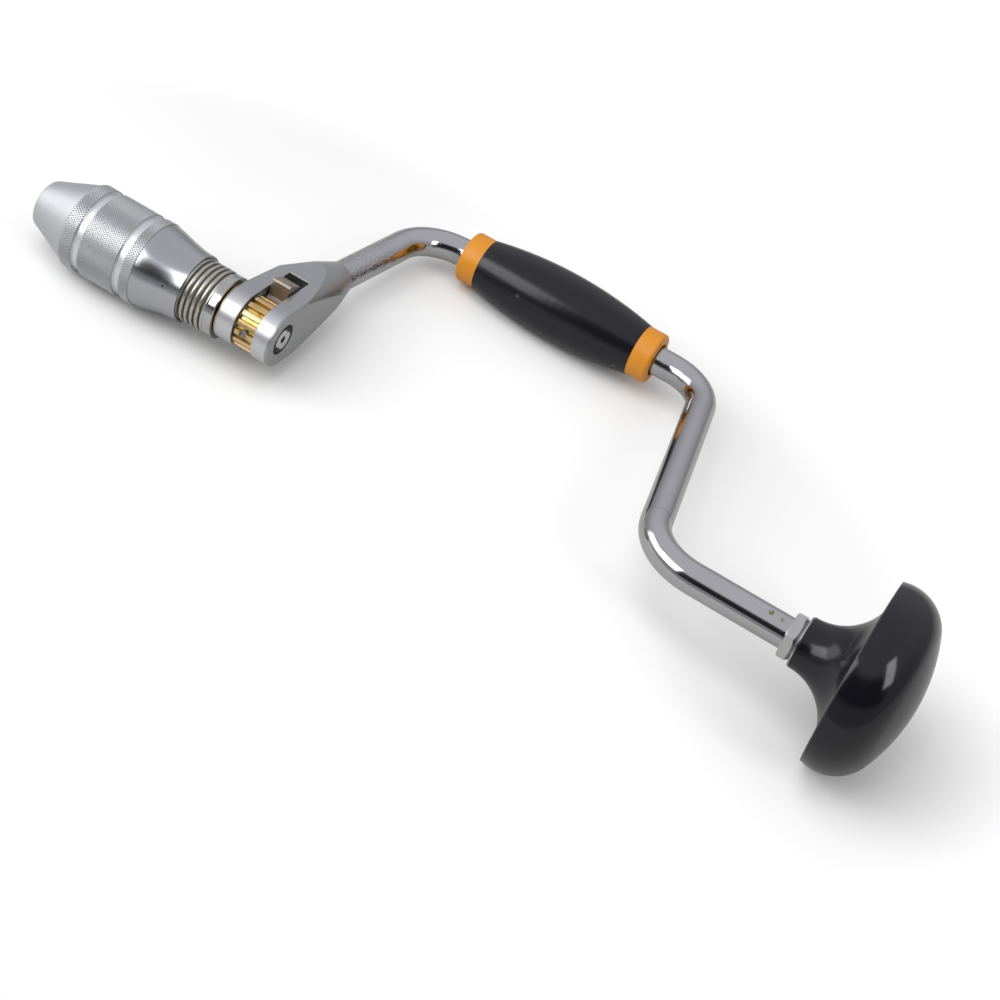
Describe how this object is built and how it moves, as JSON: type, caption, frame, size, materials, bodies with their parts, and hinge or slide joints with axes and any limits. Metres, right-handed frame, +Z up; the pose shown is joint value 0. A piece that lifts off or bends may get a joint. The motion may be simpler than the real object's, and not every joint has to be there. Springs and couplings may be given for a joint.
{
  "type": "bit brace",
  "caption": "Hand crank bit brace: bent round bar, open ratchet head with rocker pawl, knurled screw chuck with jaws, turning barrel handle and mushroom pad.",
  "frame": {"origin": "centre of the chuck mouth, in the plane of the nose's front edge", "axes": "+X along the tool axis from the chuck mouth to the pad; +Y from the tool axis to the handle axis; +Z up, square to the crank plane"},
  "size_m": [0.3995, 0.1794, 0.0772],
  "materials": {
    "polished_bar": "polished plate",
    "satin_steel": "satin plate",
    "bright_steel": "turned and polished",
    "dark_steel": "plain steel",
    "bronzed_steel": "heat treated, brown",
    "yellow_plate": "yellow passivated plate",
    "black_plastic": "gloss",
    "orange_plastic": "semi gloss"
  },
  "bodies": {
    "frame": {"crank_rod": "polished_bar", "ratchet_head": "satin_steel", "rod_pin": "dark_steel", "pawl_pin": "dark_steel", "detent_ball": "bright_steel", "detent_spring": "bright_steel", "pad_nut": "bright_steel", "pad_washer": "dark_steel", "retaining_washer": "bright_steel", "retaining_nut": "bright_steel"},
    "pawl": {"pawl": "bronzed_steel"},
    "chuck": {"chuck_spindle": "bright_steel", "ratchet_gear": "yellow_plate", "gear_pin": "dark_steel", "thrust_washer": "yellow_plate", "jaw_spring": "dark_steel"},
    "cone": {"jaw_cone": "dark_steel"},
    "shell": {"chuck_shell": "satin_steel"},
    "upper_jaw": {"jaw_upper": "dark_steel"},
    "lower_jaw": {"jaw_lower": "dark_steel"},
    "grip": {"grip_barrel": "black_plastic", "front_ferrule": "orange_plastic", "rear_ferrule": "orange_plastic"},
    "pad": {"pad_base": "black_plastic", "pad_cap": "black_plastic", "pad_bush": "bright_steel"}
  },
  "joints": [
    {"name": "chuck_spin", "type": "hinge", "parent": "frame", "child": "chuck", "pos_m": [0.10517, 0, 0], "axis": [1, 0, 0], "continuous": true},
    {"name": "pawl_rock", "type": "hinge", "parent": "frame", "child": "pawl", "pos_m": [0.10517, 0.0205, 0], "axis": [1, 0, 0], "range_deg": [-8, 8]},
    {"name": "cone_travel", "type": "slide", "parent": "chuck", "child": "cone", "axis": [1, 0, 0], "range_m": [0, 0.008]},
    {"name": "shell_turn", "type": "hinge", "parent": "cone", "child": "shell", "pos_m": [0.04, 0, 0], "axis": [1, 0, 0], "range_deg": [0, 1152]},
    {"name": "upper_jaw_close", "type": "hinge", "parent": "chuck", "child": "upper_jaw", "pos_m": [0.055, 0, 0.008], "axis": [0, -1, 0], "range_deg": [0, 4]},
    {"name": "lower_jaw_close", "type": "hinge", "parent": "chuck", "child": "lower_jaw", "pos_m": [0.055, 0, -0.008], "axis": [0, 1, 0], "range_deg": [0, 4]},
    {"name": "grip_spin", "type": "hinge", "parent": "frame", "child": "grip", "pos_m": [0.184, 0.125, 0], "axis": [1, 0, 0], "continuous": true},
    {"name": "pad_spin", "type": "hinge", "parent": "frame", "child": "pad", "pos_m": [0.372, 0, 0], "axis": [1, 0, 0], "continuous": true}
  ],
  "couplings": [
    {"joint": "cone_travel", "follows": "shell_turn", "m_per_rad": 0.00039789},
    {"joint": "upper_jaw_close", "follows": "shell_turn", "ratio": 0.0034722},
    {"joint": "lower_jaw_close", "follows": "shell_turn", "ratio": 0.0034722}
  ]
}
